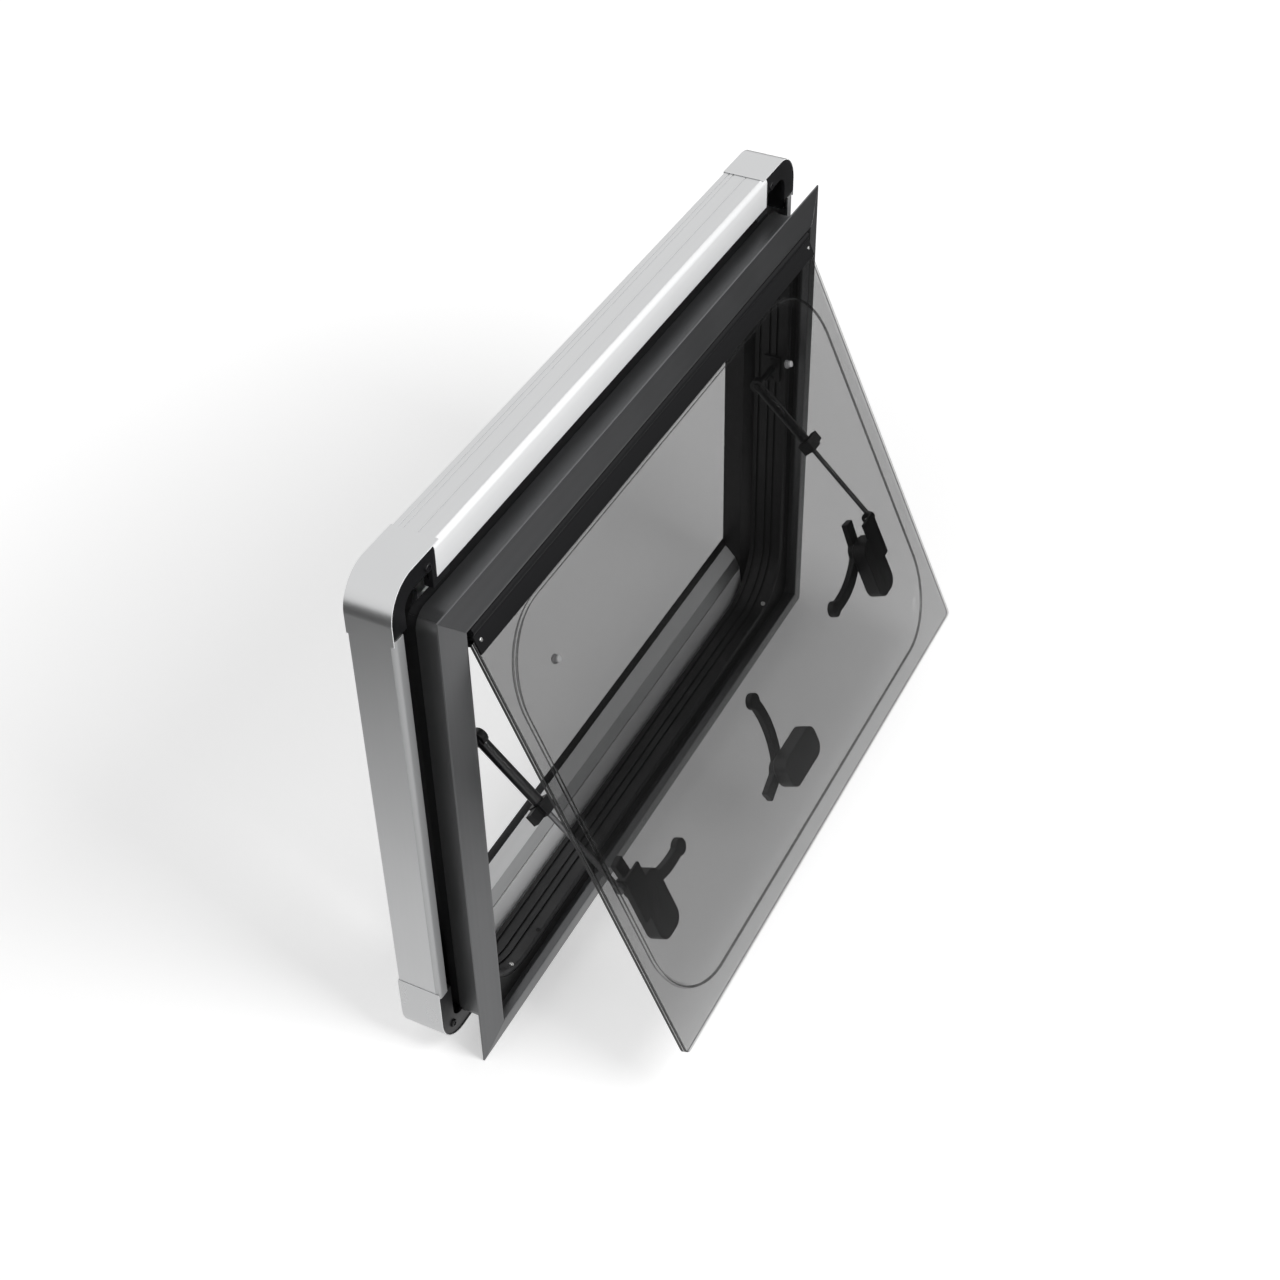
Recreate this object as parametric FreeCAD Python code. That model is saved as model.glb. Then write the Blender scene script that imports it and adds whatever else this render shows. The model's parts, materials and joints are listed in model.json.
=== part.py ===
import FreeCAD, Part
import math
import os

from FreeCAD import Placement, Rotation, Vector

# Top-hung caravan window in an aluminium frame, in millimetres.
# The origin lies on the flat back face of the flange, in the middle of its bottom side,
# where the flange presses on the outer skin of the vehicle. +Y goes into the room, +Z is up.

# Cut-out in the wall
cutout_width = 700.0
cutout_height = 500.0

# Outer frame: mitred sloping flange with a sleeve behind it
sleeve_clearance = 1.0
flange_overhang = 22.0
flange_face_width = 30.0
flange_edge_thickness = 1.6
flange_crest_height = 7.6
flange_crest_width = 3.0
sleeve_depth = 35.0
sleeve_wall = 2.5
sleeve_corner_radius = 16.0

# Ribbed liner inside the sleeve, with a rounded lip in front
liner_lip_front = 6.8
liner_lip_width = 5.0
liner_lip_bevel = 2.0
liner_shoulder = 14.0
liner_back = 45.0
liner_wall_side = 17.0
liner_wall_top = 18.0
liner_corner_radius = 60.0
liner_fit = 0.3
liner_groove_width = 2.0
liner_groove_depth = 1.8
liner_groove_starts = (19.0, 27.0, 38.0)

# Rubber seal in the channel between the sleeve and the liner's lip
seal_front = 6.6
seal_fit = 0.2

# Inner cassette frame on the room side
cassette_front = 31.0
cassette_depth = 43.0
cassette_side_overlap = 34.0
cassette_top_overlap = 48.0
cassette_bottom_overlap = 6.0
cassette_wall = 2.0
cassette_side_lip = 13.0
cassette_top_lip = 32.0
cassette_bottom_lip = 6.0
cassette_edge_radius = 5.0
cassette_corner_radius = 34.0
cassette_groove_depth = 0.6
cassette_groove_width = 1.0
cassette_groove_setbacks = (5.0, 9.5, 23.0)
cassette_top_end = 49.0
cassette_bottom_end = 70.0

# Corner caps, and the moulded corner joints under them
cap_proud = 0.8
cap_fit = 0.2
cap_level_leg = 74.5
cap_top_leg = 53.0
cap_bottom_leg = 78.0
joint_fit = 0.3
joint_wall = 5.0
joint_recess = 1.0
joint_plate_thickness = 4.0
joint_plate_width = 20.0
joint_tab_length = 18.0
joint_seat_clearance = 0.5
joint_lug_length = 20.0
joint_lug_width = 8.0
joint_lug_depth = 9.0

# Stepped surround of the cassette's opening, above and below, with smooth guides at the sides
surround_wall = 2.0
surround_fit = 0.3
surround_gap = 5.0
surround_foot = 8.0
surround_gap_drop = 9.5
surround_strip_top = 22.5
surround_strip_lean = 2.0
surround_groove_width = 2.5
surround_groove_depth = 1.0
surround_ledge_rise = 13.0
surround_ledge_run = 6.0
surround_ramp_rise = 13.0
surround_ramp_run = 12.0
surround_rim_rise = 9.0
surround_rim_width = 6.5
guide_step = 12.0
guide_run = 7.0
guide_end_gap = 1.2

# Sash: outer sheet and formed inner sheet, hung from a bead along the top
open_angle = 24.0
hinge_gap = 6.5
hinge_proud = 4.6
hinge_bead_radius = 2.6
hinge_neck_thickness = 1.6
hinge_foot_thickness = 2.0
hinge_fit = 0.3
hinge_socket_wall = 1.8
hinge_mouth_margin = 24.0
hinge_mouth_reach = 15.0
hinge_leaf_thickness = 2.0
hinge_leaf_outer_length = 22.0
hinge_leaf_inner_length = 14.0
sash_side_gap = 7.0
sash_bottom_gap = 6.5
sash_top = 7.5
sash_corner_radius = 6.0
sheet_thickness = 3.0
dome_side_margin = 20.0
dome_top = 28.0
dome_bottom_margin = 19.0
dome_radius = 76.0
dome_height = 13.0
dome_slope = 8.0
plug_inset = 71.0
plug_drop = 94.0
plug_radius = 4.5
plug_height = 1.5

# Latches on the inner sheet
latch_base_length = 68.0
latch_base_width = 36.0
latch_base_height = 17.5
latch_base_corner = 13.0
latch_base_bevel = 2.5
side_latch_inset = 51.0
side_latch_rise = 116.0
middle_latch_offset = 12.0
middle_latch_rise = 60.0
latch_pivot_shift = 20.0
lever_gap = 0.4
lever_thickness = 7.0
lever_hub_radius = 11.0
lever_width = 12.0
lever_handle_length = 88.0
lever_handle_bow = 9.0
lever_knob_radius = 8.5
lever_tail_length = 34.0
lever_tail_width = 13.0
lever_tail_angle = 112.0
lever_pin_radius = 3.0
lever_pin_fit = 0.3
side_handle_droop = 15.0
middle_handle_angle = 84.0

# Telescopic stays at both sides
stay_wall_gap = 37.2
stay_pivot_inset = 24.0
stay_pivot_rise = 145.5
stay_end_rise = 44.0
stay_end_inset = 23.5
stay_tube_radius = 5.5
stay_bore_radius = 3.4
stay_tube_length = 90.0
stay_knuckle_radius = 8.0
stay_knuckle_width = 8.0
stay_pin_radius = 3.5
stay_pin_fit = 0.3
stay_rod_radius = 2.6
stay_rod_length = 106.0
stay_eye_radius = 5.0
stay_eye_width = 5.0
stay_side_gap = 0.3
collar_width = 15.0
collar_length = 13.0
collar_fit = 0.1
collar_flag_reach = 19.0
collar_flag_width = 11.0
collar_flag_thickness = 7.0
pivot_plate_width = 18.0
pivot_plate_height = 30.0
pivot_plate_thickness = 3.0
ear_radius = 7.0
ear_width = 4.0
ear_foot_thickness = 3.0

# Derived sizes
flange_width = cutout_width - 2 * sleeve_clearance + 2 * flange_overhang
flange_height = cutout_height - 2 * sleeve_clearance + 2 * flange_overhang
sleeve_width = flange_width - 2 * flange_overhang
sleeve_height = flange_height - 2 * flange_overhang
opening_width = flange_width - 2 * flange_face_width
opening_height = flange_height - 2 * flange_face_width
centre_z = (flange_height - flange_overhang) / 2
liner_outer_width = sleeve_width - 2 * (sleeve_wall + liner_fit)
liner_outer_height = sleeve_height - 2 * (sleeve_wall + liner_fit)
liner_width = liner_outer_width - 2 * liner_wall_side
liner_height = liner_outer_height - 2 * liner_wall_top
cassette_back = cassette_front + cassette_depth
cassette_half_width = cutout_width / 2 + cassette_side_overlap
cassette_low = centre_z - cutout_height / 2 - cassette_bottom_overlap
cassette_high = centre_z + cutout_height / 2 + cassette_top_overlap
hinge_z = centre_z + opening_height / 2 - hinge_gap
hinge_y = -hinge_proud
sash_width = opening_width - 2 * sash_side_gap
sash_length = opening_height - hinge_gap - sash_bottom_gap
dome_half_width = sash_width / 2 - dome_side_margin
dome_bottom = sash_length - dome_bottom_margin
plug_half_spread = dome_half_width - plug_inset
side_latch_half_spread = dome_half_width - side_latch_inset
side_latch_drop = sash_length - side_latch_rise
middle_latch_drop = sash_length - middle_latch_rise
stay_plane = liner_width / 2 - stay_wall_gap
stay_end_drop = side_latch_drop - stay_end_rise
stay_pivot_drop = stay_end_drop - stay_pivot_rise
inner_face = 2 * sheet_thickness + dome_height - sheet_thickness
lever_level = inner_face + latch_base_height + lever_gap
stay_pivot = Vector(0, stay_pivot_inset, hinge_z - stay_pivot_drop)
surround_start = liner_height / 2
surround_rim = (surround_start - surround_strip_top - surround_groove_width - surround_ledge_rise
                - surround_ramp_rise - surround_rim_rise)
guide_inside = liner_width / 2 - guide_step
guide_outside = guide_inside + surround_wall
level_rail_half = guide_inside - surround_fit
guide_length = liner_outer_height - 2 * guide_end_gap
tiny = 0.01
far = 1000.0
half_turn = 180.0


def box(x0, x1, y0, y1, z0, z1):
    return Part.makeBox(x1 - x0, y1 - y0, z1 - z0, Vector(x0, y0, z0))


def rounded_wire(width, height, radius, y, middle_z, middle_x=0.0):
    """Rectangle with round corners, in a plane across the Y axis."""
    half_x, half_z = width / 2, height / 2
    cut = radius * (1 - math.sqrt(0.5))

    def at(x, z):
        return Vector(middle_x + x, y, middle_z + z)

    edges = []
    corners = ((1, 1), (1, -1), (-1, -1), (-1, 1))
    for index, (sx, sz) in enumerate(corners):
        along_z = index % 2 == 0
        first = at(sx * (half_x - radius), sz * half_z)
        last = at(sx * half_x, sz * (half_z - radius))
        if not along_z:
            first, last = last, first
        edges.append(Part.Arc(first, at(sx * (half_x - cut), sz * (half_z - cut)), last).toShape())
        next_x, next_z = corners[(index + 1) % 4]
        if along_z:
            target = at(next_x * half_x, next_z * (half_z - radius))
        else:
            target = at(next_x * (half_x - radius), next_z * half_z)
        edges.append(Part.LineSegment(last, target).toShape())
    return Part.Wire(edges)


def rounded_block(width, height, radius, y0, y1, middle_z, middle_x=0.0):
    face = Part.Face(rounded_wire(width, height, radius, y0, middle_z, middle_x))
    return face.extrude(Vector(0, y1 - y0, 0))


def rectangle_wire(width, height, y, middle_z):
    points = [Vector(sx * width / 2, y, middle_z + sz * height / 2)
              for sx, sz in ((-1, -1), (1, -1), (1, 1), (-1, 1), (-1, -1))]
    return Part.makePolygon(points)


def quarter(side, middle_z):
    """Wedge that holds one side of a mitred rectangle with 45 degree corners."""
    half_gap = (flange_width - flange_height) / 2
    reach = far / 2
    ends = {
        "top": ((-half_gap, 0), (half_gap, 0), (half_gap + reach, reach), (-half_gap - reach, reach)),
        "bottom": ((-half_gap, 0), (half_gap, 0), (half_gap + reach, -reach), (-half_gap - reach, -reach)),
        "left": ((-half_gap, 0), (-half_gap - reach, reach), (-half_gap - reach, -reach)),
        "right": ((half_gap, 0), (half_gap + reach, reach), (half_gap + reach, -reach)),
    }[side]
    points = [Vector(x, -far / 2, middle_z + z) for x, z in ends]
    return Part.Face(Part.makePolygon(points + points[:1])).extrude(Vector(0, far, 0))


def split_sides(ring, name, parts):
    for side in ("top", "bottom", "left", "right"):
        parts[f"{name}_{side}"] = ring.common(quarter(side, centre_z))


def prism(points, direction):
    return Part.Face(Part.makePolygon(points + points[:1])).extrude(direction)


def turned(shape, angle, centre, axis):
    result = shape.copy()
    result.rotate(centre, axis, angle)
    return result


def opened(shape):
    """Swing a piece of the closed sash out to the resting angle."""
    return turned(shape, -open_angle, Vector(0, hinge_y, hinge_z), Vector(1, 0, 0))


def on_sash(x, drop, inset):
    """Point on the closed sash, by its distance below the hinge and behind the outer face."""
    return Vector(x, hinge_y + inset, hinge_z - drop)


def swung(point):
    """Where a point of the closed sash lies at the resting angle."""
    arm = point - Vector(0, hinge_y, hinge_z)
    angle = math.radians(-open_angle)
    return Vector(point.x,
                  hinge_y + arm.y * math.cos(angle) - arm.z * math.sin(angle),
                  hinge_z + arm.y * math.sin(angle) + arm.z * math.cos(angle))


# Outer frame


def outer_frame(parts):
    slope_width = flange_width - 2 * (flange_face_width - flange_crest_width)
    slope_height = flange_height - 2 * (flange_face_width - flange_crest_width)
    edge = rectangle_wire(flange_width, flange_height, -flange_edge_thickness, centre_z)
    crest = rectangle_wire(slope_width, slope_height, -flange_crest_height, centre_z)
    flange = Part.Face(edge).extrude(Vector(0, flange_edge_thickness, 0))
    flange = flange.fuse(Part.makeLoft([edge, crest], True, True))
    sleeve = rounded_block(sleeve_width, sleeve_height, sleeve_corner_radius, 0, sleeve_depth, centre_z)
    bore = rounded_block(sleeve_width - 2 * sleeve_wall, sleeve_height - 2 * sleeve_wall,
                         sleeve_corner_radius - sleeve_wall, 0, sleeve_depth, centre_z)
    opening = box(-opening_width / 2, opening_width / 2, -far / 2, far / 2,
                  centre_z - opening_height / 2, centre_z + opening_height / 2)
    split_sides(flange.cut(opening).fuse(sleeve.cut(bore)).removeSplitter(), "outer_frame", parts)


def line(start, end):
    return Part.LineSegment(start, end).toShape()


def edges_across(shape, y, half_x, half_z):
    """Edges in the plane at a depth that stay within a distance of the window's middle."""
    def near(point):
        return abs(point.y - y) < tiny and abs(point.x) < half_x and abs(point.z - centre_z) < half_z
    return [edge for edge in shape.Edges if all(near(vertex.Point) for vertex in edge.Vertexes)]


def liner(parts):
    shoulder_radius = sleeve_corner_radius - sleeve_wall
    lip_width = liner_width + 2 * liner_lip_width
    lip_height = liner_height + 2 * liner_lip_width
    body = rounded_block(liner_outer_width, liner_outer_height, shoulder_radius, liner_shoulder, liner_back,
                         centre_z)
    lip = rounded_block(lip_width, lip_height, liner_corner_radius + liner_lip_width, liner_lip_front,
                        liner_shoulder, centre_z)
    body = body.fuse(lip).cut(rounded_block(liner_width, liner_height, liner_corner_radius, liner_lip_front,
                                            liner_back, centre_z)).removeSplitter()
    inner_edges = edges_across(body, liner_lip_front, liner_width / 2 + tiny, liner_height / 2 + tiny)
    body = body.makeChamfer(liner_lip_bevel, inner_edges)
    for start in liner_groove_starts:
        body = body.cut(rounded_block(liner_width + 2 * liner_groove_depth,
                                      liner_height + 2 * liner_groove_depth,
                                      liner_corner_radius + liner_groove_depth,
                                      start, start + liner_groove_width, centre_z))
    split_sides(body, "reveal_liner", parts)


def seal(parts):
    outer_width = sleeve_width - 2 * (sleeve_wall + seal_fit)
    outer_height = sleeve_height - 2 * (sleeve_wall + seal_fit)
    grow = liner_lip_width + seal_fit
    back = liner_shoulder - seal_fit
    body = rounded_block(outer_width, outer_height, sleeve_corner_radius - sleeve_wall, seal_front, back,
                         centre_z)
    hole = rounded_block(liner_width + 2 * grow, liner_height + 2 * grow, liner_corner_radius + grow,
                         seal_front, back, centre_z)
    parts["frame_seal"] = body.cut(hole)


# Cassette frame


def rail_section(place, outer, lip, inner):
    """Cross-section of a rail: rounded front edge, outer wall and a back wall that reaches inwards."""
    wall, bend = cassette_wall, cassette_edge_radius
    y0, y1 = cassette_front, cassette_back
    outer_turn = bend * (1 - math.sqrt(0.5))
    inner_turn = wall + (bend - wall) * (1 - math.sqrt(0.5))
    corners = [(outer, y0 + bend), (outer, y1), (inner, y1), (inner, y1 - wall),
               (outer - wall, y1 - wall), (outer - wall, y0 + bend)]
    ends = [(outer - bend, y0 + wall), (outer - lip, y0 + wall), (outer - lip, y0), (outer - bend, y0)]
    edges = [line(place(*corners[index]), place(*corners[index + 1])) for index in range(len(corners) - 1)]
    edges.append(Part.Arc(place(*corners[-1]), place(outer - inner_turn, y0 + inner_turn),
                          place(*ends[0])).toShape())
    edges += [line(place(*ends[index]), place(*ends[index + 1])) for index in range(len(ends) - 1)]
    edges.append(Part.Arc(place(*ends[-1]), place(outer - outer_turn, y0 + outer_turn),
                          place(*corners[0])).toShape())
    return Part.Face(Part.Wire(edges))


def level_rail(sign, reach, lip, inner):
    """Top or bottom rail, with fine grooves along its outer face."""
    start, end = -level_rail_half, level_rail_half

    def place(distance, y):
        return Vector(start, y, centre_z + sign * distance)

    run = Vector(end - start, 0, 0)
    rail = rail_section(place, reach, lip, inner).extrude(run)
    for setback in cassette_groove_setbacks:
        y = cassette_back - setback
        corners = [(reach + tiny, y), (reach - cassette_groove_depth, y),
                   (reach - cassette_groove_depth, y - cassette_groove_width),
                   (reach + tiny, y - cassette_groove_width)]
        rail = rail.cut(prism([place(*corner) for corner in corners], run))
    return rail


def upright_rail(sign):
    start = cassette_low + cassette_bottom_end
    end = cassette_high - cassette_top_end

    def place(distance, y):
        return Vector(sign * distance, y, start)

    section = rail_section(place, cassette_half_width, cassette_side_lip, guide_outside + surround_fit)
    return section.extrude(Vector(0, 0, end - start))


def corner_edges(offset, leg_x, leg_z, right, top, y):
    """Outer edge of a cassette corner at an offset inwards, from its level leg to its upright leg."""
    sx = 1 if right else -1
    sz = 1 if top else -1
    height = cassette_high - centre_z if top else centre_z - cassette_low
    edge_x, edge_z = cassette_half_width - offset, height - offset
    radius = cassette_corner_radius - offset
    turn = radius * (1 - math.sqrt(0.5))

    def at(x, z):
        return Vector(sx * x, y, centre_z + sz * z)

    level_end = at(cassette_half_width - leg_x, edge_z)
    upright_end = at(edge_x, height - leg_z)
    bend = [at(edge_x - radius, edge_z), at(edge_x - turn, edge_z - turn), at(edge_x, edge_z - radius)]
    edges = [line(level_end, bend[0]), Part.Arc(*bend).toShape(), line(bend[2], upright_end)]
    inside = at(cassette_half_width - leg_x, height - leg_z)
    return edges, level_end, upright_end, inside


def corner_band(near, wide, leg_x, leg_z, right, top, y0, y1):
    """Band along a corner between two offsets from the outside of the cassette."""
    outer, outer_level, outer_upright, _ = corner_edges(near, leg_x, leg_z, right, top, y0)
    inner, inner_level, inner_upright, _ = corner_edges(wide, leg_x, leg_z, right, top, y0)
    ends = [line(outer_upright, inner_upright), line(inner_level, outer_level)]
    wire = Part.Wire(Part.__sortEdges__(outer + inner + ends))
    return Part.Face(wire).extrude(Vector(0, y1 - y0, 0))


def corner_plate(near, leg_x, leg_z, right, top, y0, y1):
    """Flat plate that fills a corner between its two legs."""
    outer, level_end, upright_end, inside = corner_edges(near, leg_x, leg_z, right, top, y0)
    wire = Part.Wire(outer + [line(upright_end, inside), line(inside, level_end)])
    return Part.Face(wire).extrude(Vector(0, y1 - y0, 0))


def corner_cap(right, top):
    """Rounded cover over the ends of two rails, closed on the room side."""
    upright_leg = cap_top_leg if top else cap_bottom_leg
    back = cassette_back + cap_fit
    skirt = corner_band(-cap_proud - cap_fit, -cap_fit, cap_level_leg, upright_leg, right, top,
                        cassette_front, back)
    plate = corner_plate(-cap_proud - cap_fit, cap_level_leg, upright_leg, right, top, back, back + cap_proud)
    return skirt.fuse(plate).removeSplitter()


def corner_joint(right, top):
    """Moulded piece between two rails: front plate, outer wall, a tab in each rail and a lug at the top."""
    sx = 1 if right else -1
    leg_x = cassette_half_width - level_rail_half - joint_fit
    leg_z = (cassette_top_end if top else cassette_bottom_end) - joint_fit
    inside = cassette_wall + joint_fit
    tab = joint_tab_length
    front = cassette_front + joint_recess
    back = cassette_back - cassette_wall - joint_fit
    plate = corner_band(0, joint_plate_width, leg_x, leg_z, right, top, front, front + joint_plate_thickness)
    wall = corner_band(0, inside + joint_wall, leg_x, leg_z, right, top, front, back)
    tabs = corner_band(inside, inside + joint_wall, leg_x + tab, leg_z + tab, right, top,
                       cassette_front + cassette_edge_radius + cassette_wall, back)
    pieces = [wall, tabs]
    if top:
        lip_end = cassette_high - cassette_top_lip
        start = level_rail_half + joint_fit
        lug_low, lug_high = lip_end - joint_fit - joint_lug_width, lip_end - joint_fit
        lug_x = sorted((sx * (start + joint_wall), sx * (start - joint_lug_length)))
        strip_x = sorted((sx * start, sx * (start + joint_wall)))
        pieces.append(box(*lug_x, front, front + joint_lug_depth, lug_low, lug_high))
        pieces.append(box(*strip_x, front, front + joint_plate_thickness, lug_high - tiny,
                          cassette_high - joint_plate_width + tiny))
    seat = rounded_block(sleeve_width + 2 * joint_seat_clearance, sleeve_height + 2 * joint_seat_clearance,
                         sleeve_corner_radius + joint_seat_clearance, 0, liner_back + liner_fit, centre_z)
    return plate.fuse(pieces).cut(seat).removeSplitter()


def cassette(parts):
    top_reach = cassette_high - centre_z
    low_reach = centre_z - cassette_low
    back_edge = surround_rim + surround_rim_width + surround_fit
    parts["cassette_top"] = level_rail(1, top_reach, cassette_top_lip, back_edge)
    parts["cassette_bottom"] = level_rail(-1, low_reach, cassette_bottom_lip, back_edge)
    parts["cassette_left"] = upright_rail(-1)
    parts["cassette_right"] = upright_rail(1)
    for top in (True, False):
        for right in (True, False):
            name = f"{'top' if top else 'bottom'}_{'right' if right else 'left'}"
            parts[f"corner_cap_{name}"] = corner_cap(right, top)
            parts[f"corner_joint_{name}"] = corner_joint(right, top)


def stepped_surround(sign):
    """Housing above or below the opening: foot on the liner, upright strip, groove, ledge, ramp and rim."""
    foot = liner_back + surround_fit
    face = liner_back + surround_gap
    strip_end = surround_start - surround_strip_top
    groove_end = strip_end - surround_groove_width
    ledge_end = groove_end - surround_ledge_rise
    strip_y = face + surround_strip_lean
    ledge_y = strip_y + surround_ledge_run
    ramp_y = ledge_y + surround_ramp_run
    gap_floor = surround_start + surround_gap_drop
    outline = [(foot, gap_floor + surround_foot), (foot, gap_floor), (face, gap_floor),
               (face, surround_start), (strip_y, strip_end), (strip_y + surround_groove_depth, strip_end),
               (strip_y + surround_groove_depth, groove_end), (strip_y, groove_end),
               (ledge_y, ledge_end), (ramp_y, ledge_end - surround_ramp_rise),
               (cassette_back, surround_rim), (cassette_back, surround_rim + surround_rim_width),
               (cassette_back - cassette_wall - surround_fit, surround_rim + surround_rim_width),
               (ramp_y, ledge_end - surround_ramp_rise + 2 * surround_wall),
               (ledge_y, ledge_end + 2 * surround_wall), (face + 2 * surround_wall, strip_end),
               (face + surround_wall, gap_floor + surround_wall),
               (foot + surround_wall, gap_floor + surround_wall),
               (foot + surround_wall, gap_floor + surround_foot)]
    points = [Vector(-level_rail_half, y, centre_z + sign * distance) for y, distance in outline]
    return prism(points, Vector(2 * level_rail_half, 0, 0))


def side_guide(sign):
    """Smooth guide at the side of the opening, with a foot on the liner."""
    foot = liner_back + surround_fit
    liner_edge = liner_width / 2
    slope_end = foot + guide_run
    low = centre_z - guide_length / 2
    outline = [(foot, liner_edge + surround_foot), (foot, liner_edge), (slope_end, guide_inside),
               (cassette_back, guide_inside), (cassette_back, guide_outside),
               (slope_end + surround_wall, guide_outside), (foot + surround_wall, liner_edge + surround_wall),
               (foot + surround_wall, liner_edge + surround_foot)]
    points = [Vector(sign * x, y, low) for y, x in outline]
    return prism(points, Vector(0, 0, guide_length))


def surround(parts):
    parts["surround_top"] = stepped_surround(1)
    parts["surround_bottom"] = stepped_surround(-1)
    parts["surround_left"] = side_guide(-1)
    parts["surround_right"] = side_guide(1)


# Sash


def hinge(parts):
    axis = Vector(0, hinge_y, hinge_z)
    half = sash_width / 2
    opening_top = centre_z + opening_height / 2
    bead = Part.makeCylinder(hinge_bead_radius, sash_width, axis - Vector(half, 0, 0), Vector(1, 0, 0))
    neck = box(-half, half, hinge_y - hinge_neck_thickness / 2, hinge_y + hinge_neck_thickness / 2,
               hinge_z, opening_top)
    foot = box(-half, half, hinge_y - hinge_neck_thickness / 2, 0, opening_top - hinge_foot_thickness,
               opening_top)
    parts["hinge_rail"] = bead.fuse([neck, foot]).removeSplitter()

    inner = hinge_bead_radius + hinge_fit
    outer = inner + hinge_socket_wall
    socket = Part.makeCylinder(outer, sash_width, axis - Vector(half, 0, 0), Vector(1, 0, 0))
    socket = socket.cut(Part.makeCylinder(inner, sash_width, axis - Vector(half, 0, 0), Vector(1, 0, 0)))
    mouth_start = math.radians(90 - hinge_mouth_margin)
    mouth_end = math.radians(90 + open_angle + hinge_mouth_margin)
    start = axis - Vector(half, 0, 0)
    mouth = [start] + [start + Vector(0, math.cos(angle), math.sin(angle)) * hinge_mouth_reach
                       for angle in (mouth_start, mouth_end)]
    socket = socket.cut(prism(mouth, Vector(sash_width, 0, 0)))

    leaf_low = hinge_z - hinge_leaf_outer_length
    outer_leaf = box(-half, half, hinge_y - hinge_leaf_thickness, hinge_y, leaf_low,
                     hinge_z - math.sqrt(outer ** 2 - hinge_leaf_thickness ** 2) + tiny)
    edge_z = hinge_z - sash_top
    bridge = box(-half, half, hinge_y - hinge_leaf_thickness, hinge_y + 2 * sheet_thickness
                 + hinge_leaf_thickness, edge_z, edge_z + hinge_leaf_thickness)
    inner_leaf = box(-half, half, hinge_y + 2 * sheet_thickness,
                     hinge_y + 2 * sheet_thickness + hinge_leaf_thickness,
                     hinge_z - hinge_leaf_inner_length, edge_z + tiny)
    leaf = socket.fuse([outer_leaf, bridge, inner_leaf]).removeSplitter()
    parts["hinge_leaf"] = opened(leaf)


def panes(parts):
    length = sash_length - sash_top
    middle = hinge_z - sash_top - length / 2

    def sheet(inset0, inset1):
        block = rounded_block(sash_width, length, sash_corner_radius, hinge_y + inset0, hinge_y + inset1,
                              middle)
        return block

    parts["outer_pane"] = opened(sheet(0, sheet_thickness))

    dome_length = dome_bottom - dome_top
    dome_middle = hinge_z - dome_top - dome_length / 2

    def dome(grow, foot, crown):
        low = rounded_wire(2 * (dome_half_width + grow), dome_length + 2 * grow, dome_radius + grow,
                           hinge_y + foot, dome_middle)
        high = rounded_wire(2 * (dome_half_width + grow - dome_slope),
                            dome_length + 2 * (grow - dome_slope), dome_radius + grow - dome_slope,
                            hinge_y + crown, dome_middle)
        return Part.makeLoft([low, high], True, True)

    shell = sheet(sheet_thickness, 2 * sheet_thickness).fuse(
        dome(sheet_thickness, sheet_thickness, inner_face))
    hollow = dome(0, sheet_thickness, inner_face - sheet_thickness)
    parts["inner_pane"] = opened(shell.cut(hollow).removeSplitter())

    plugs = [Part.makeCylinder(plug_radius, plug_height,
                               on_sash(sx * plug_half_spread, plug_drop, inner_face), Vector(0, 1, 0))
             for sx in (-1, 1)]
    parts["pane_plugs"] = opened(Part.makeCompound(plugs))


# Latches


def latch_base(x, drop, upright):
    width, height = latch_base_width, latch_base_length
    if not upright:
        width, height = height, width
    foot_y = hinge_y + inner_face
    top_y = foot_y + latch_base_height
    block = rounded_block(width, height, latch_base_corner, foot_y, top_y, hinge_z - drop, x)
    return block.makeChamfer(latch_base_bevel, edges_across(block, top_y, far, far))


def stay_ear(sx):
    """Ear for the rod's eye, moulded on a side latch: a disc on a web with a foot on the pane."""
    outside = stay_plane - stay_eye_width / 2 - stay_side_gap
    centre = on_sash(sx * outside, stay_end_drop, stay_end_inset)
    disc = Part.makeCylinder(ear_radius, ear_width, centre, Vector(-sx, 0, 0))
    low = hinge_z - side_latch_drop
    high = hinge_z - stay_end_drop + ear_radius
    web_x = sorted((sx * outside, sx * (outside - ear_width)))
    foot_x = sorted((sx * outside, sx * side_latch_half_spread))
    foot_y = hinge_y + inner_face
    web = box(*web_x, foot_y, centre.y, low, high)
    foot = box(*foot_x, foot_y, foot_y + ear_foot_thickness, low, high)
    return disc.fuse([web, foot])


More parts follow.
